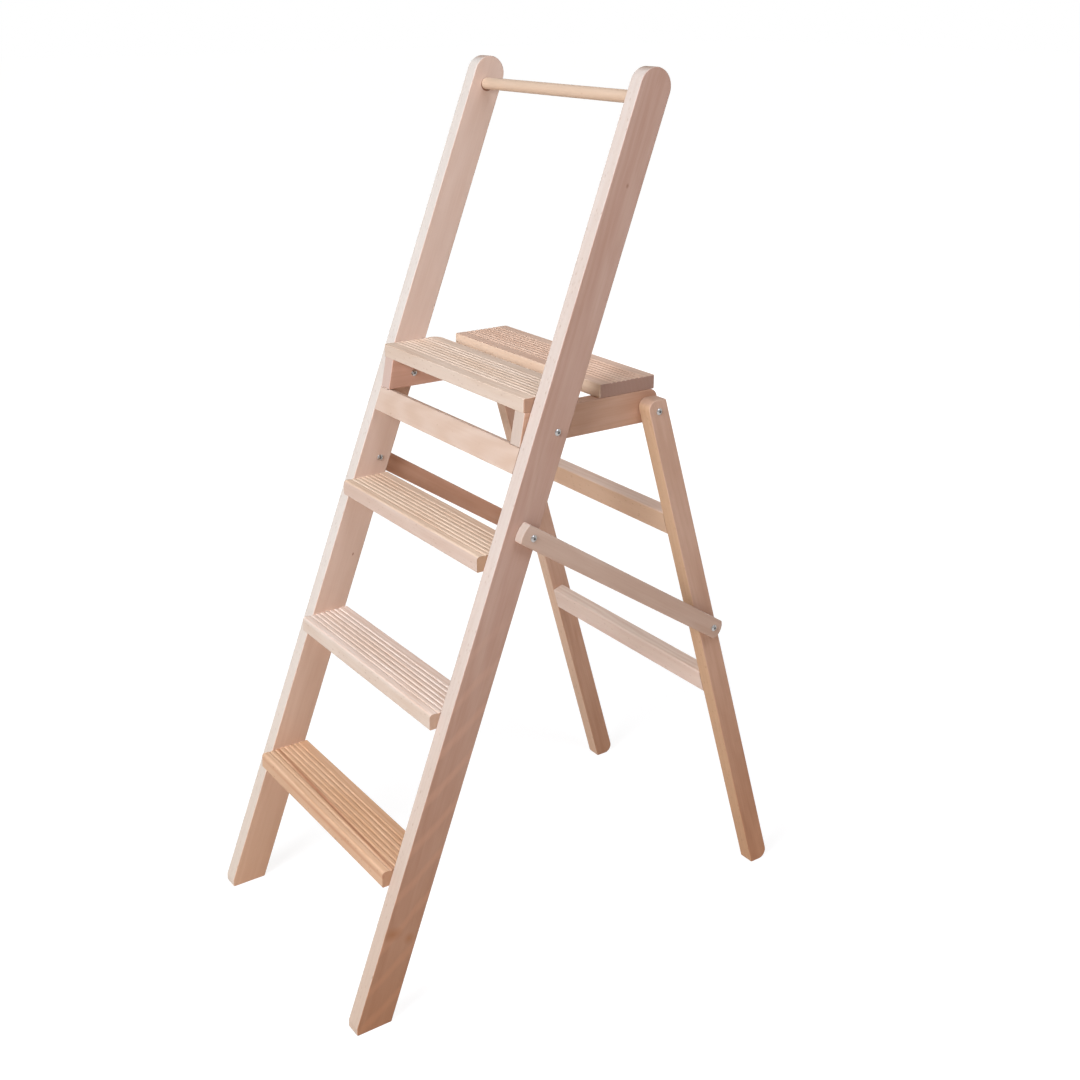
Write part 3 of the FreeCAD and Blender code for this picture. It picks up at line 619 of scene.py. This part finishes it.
studio = {
    "floorSize": 60,              # m
    "floorColour": "#D8C6B6",     # warm pale paper
    "floorShade": 0.25,           # share of the light on the floor that shows, enough for a soft shadow
    "whiteNear": 0.86,            # what the floor adds to that near the ladder, so that it looks white
    "whiteFar": 0.97,
    "whiteReach": (0.6, 3.2),     # m from the middle, from near to far
    "skyColour": "#FFEEDF",
    "skyStrength": 0.16,
    "backdropSide": (-0.84, 0.54, 0),
    "backdropEdge": (-0.5, 0.3),  # cosines of the angle from there, where the room is dim and is white
    "roomShade": 0.5,             # how bright the dim side is, next to the backdrop
}


def shownRay(tree):
    # 1 for the camera and for what shows in metal or glass
    path = addNode(tree, "LightPath")
    first = addNode(tree, "Math", {
        0: path.outputs["Is Camera Ray"],
        1: path.outputs["Is Glossy Ray"],
    }, operation="MAXIMUM")
    return addNode(tree, "Math", {
        0: first.outputs[0],
        1: path.outputs["Is Transmission Ray"],
    }, operation="MAXIMUM").outputs[0]


def paperFloor():
    # Matt studio paper: pale, white where nothing shades it, and it keeps the ladder's soft shadow.
    material, tree = newMaterial("matt paper floor")
    paper = addNode(tree, "BsdfDiffuse", {"Color": linear(studio["floorColour"])})
    lit = addNode(tree, "BsdfDiffuse", {"Color": [studio["floorShade"]] * 3 + [1]})
    # the lamps reach the floor near the ladder, so it needs less of its own white there
    place = addNode(tree, "TexCoord")
    far = addNode(tree, "VectorMath", {0: place.outputs["Object"]}, operation="LENGTH")
    own = addNode(tree, "MapRange", {
        "Value": far.outputs["Value"],
        "From Min": studio["whiteReach"][0],
        "From Max": studio["whiteReach"][1],
        "To Min": studio["whiteNear"],
        "To Max": studio["whiteFar"],
    })
    glow = addNode(tree, "Emission", {"Color": (1, 1, 1, 1), "Strength": own.outputs[0]})
    shown = addNode(tree, "AddShader", {0: lit.outputs[0], 1: glow.outputs[0]})
    chosen = addNode(tree, "MixShader", {0: shownRay(tree), 1: paper.outputs[0], 2: shown.outputs[0]})
    addNode(tree, "OutputMaterial", {"Surface": chosen.outputs[0]})
    return material


bpy.ops.mesh.primitive_plane_add(size=studio["floorSize"], location=(0, 0, 0))
floor = bpy.context.object
floor.name = "floor"
floor.data.materials.append(paperFloor())

world = bpy.data.worlds.new("white studio")
bpy.context.scene.world = world
world.use_nodes = True
worldTree = world.node_tree
worldTree.nodes.clear()
dim = addNode(worldTree, "Background", {
    "Color": linear(studio["skyColour"]),
    "Strength": studio["skyStrength"],
})
# the backdrop is white; the room on the viewer's side is dim, and only metal shows that
direction = addNode(worldTree, "TexCoord")
behind = addNode(worldTree, "VectorMath", {
    0: direction.outputs["Generated"],
    1: studio["backdropSide"],
}, operation="DOT_PRODUCT")
backdrop = addNode(worldTree, "MapRange", {
    "Value": behind.outputs["Value"],
    "From Min": studio["backdropEdge"][0],
    "From Max": studio["backdropEdge"][1],
    "To Min": studio["roomShade"],
    "To Max": 1.0,
})
white = addNode(worldTree, "Background", {"Color": (1, 1, 1, 1), "Strength": backdrop.outputs[0]})
sky = addNode(worldTree, "MixShader", {0: shownRay(worldTree), 1: dim.outputs[0], 2: white.outputs[0]})
addNode(worldTree, "OutputWorld", {"Surface": sky.outputs[0]})

# metres and watts
lamps = {
    "key lamp": {       # large and soft, in front and a little right
        "place": (1.0, -3.3, 2.4),
        "size": 2.0,
        "power": 174,
        "colour": "#F1F6FF",
    },
    "fill lamp": {      # low behind and left, for the sides that the key lamp leaves dark
        "place": (-1.8, 3.2, 0.5),
        "size": 2.0,
        "power": 60,
        "colour": "#FFFFFF",
    },
    "top lamp": {       # above, right of the platform
        "place": (2.2, 0.2, 3.2),
        "size": 2.2,
        "power": 42,
        "colour": "#E9F1FF",
    },
}
lampAim = Vector((0, 0, 0.7))

for name, lamp in lamps.items():
    light = bpy.data.lights.new(name, "AREA")
    light.shape = "DISK"
    light.size = lamp["size"]
    light.energy = lamp["power"]
    light.color = linear(lamp["colour"])[:3]
    holder = bpy.data.objects.new(name, light)
    bpy.context.scene.collection.objects.link(holder)
    holder.location = lamp["place"]
    holder.rotation_euler = (lampAim - Vector(lamp["place"])).to_track_quat("-Z", "Y").to_euler()

view = {
    "place": (1.82955, -1.28188, 1.48142),
    "turn": (78.13, 0, 56.87),      # degrees: pitch from straight down, roll, heading
    "lens": 48.11,                  # mm
    "sensor": 36,
    "shift": (0.0767, -0.2284),
    "reach": 200,                   # m
}
camera = bpy.data.objects.new("camera", bpy.data.cameras.new("camera"))
bpy.context.scene.collection.objects.link(camera)
camera.location = view["place"]
camera.rotation_euler = [math.radians(angle) for angle in view["turn"]]
camera.data.lens = view["lens"]
camera.data.sensor_width = view["sensor"]
camera.data.shift_x, camera.data.shift_y = view["shift"]
camera.data.clip_end = view["reach"]
bpy.context.scene.camera = camera
bpy.context.scene.view_settings.view_transform = "Standard"
print("stage, lamps and camera set")
